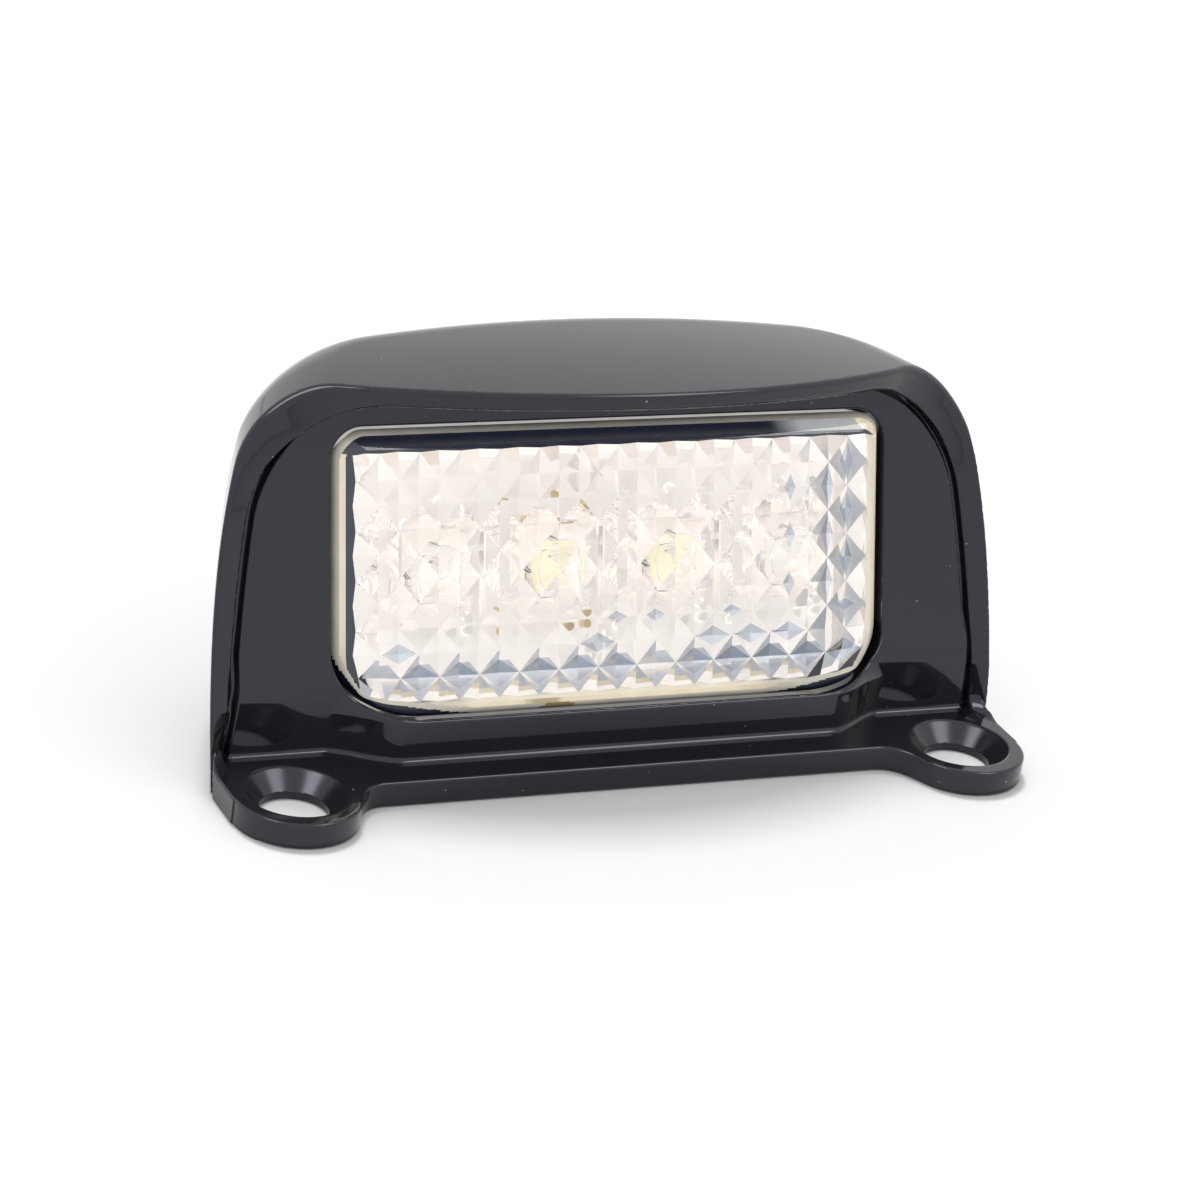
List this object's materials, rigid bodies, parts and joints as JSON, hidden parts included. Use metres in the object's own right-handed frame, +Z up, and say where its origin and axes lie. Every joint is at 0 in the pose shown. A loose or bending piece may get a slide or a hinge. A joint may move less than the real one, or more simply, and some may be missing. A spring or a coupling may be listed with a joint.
{
  "type": "number plate lamp",
  "caption": "Black hooded number plate lamp with a clear faceted LED lens, leaning front panel, curved visor and a countersunk screw flange.",
  "frame": {"origin": "midway between the two screw holes, on the underside of the flange", "axes": "+X to the right seen from the front, the lens faces -Y, +Z up away from the mounting surface"},
  "size_m": [0.0666, 0.0314, 0.0309],
  "materials": {
    "housing": "gloss, injection moulded",
    "lens": "clear moulded plastic, polished",
    "case": "cream white moulded plastic",
    "board": "white solder mask",
    "led": "clear epoxy",
    "phosphor": "yellow phosphor",
    "lead": "plated copper alloy",
    "solder": "tin solder",
    "chip_black": "moulded chip package",
    "chip_tan": "ceramic",
    "terminal": "plated pin",
    "screw": "zinc plated",
    "grommet": "moulded rubber"
  },
  "bodies": {
    "root": {"housing": "housing", "lens": "lens", "lamp_case": "case", "circuit_board": "board", "led_1": "led", "led_2": "led", "led_3": "led", "led_4": "led", "led_phosphors": "phosphor", "led_leads": "lead", "solder_joints": "solder", "resistors": "chip_black", "diode": "chip_black", "suppressor": "chip_black", "regulator": "chip_black", "capacitors": "chip_tan", "wire_terminals": "terminal", "board_screws": "screw", "case_screws": "screw", "cable_grommet": "grommet"}
  },
  "joints": []
}
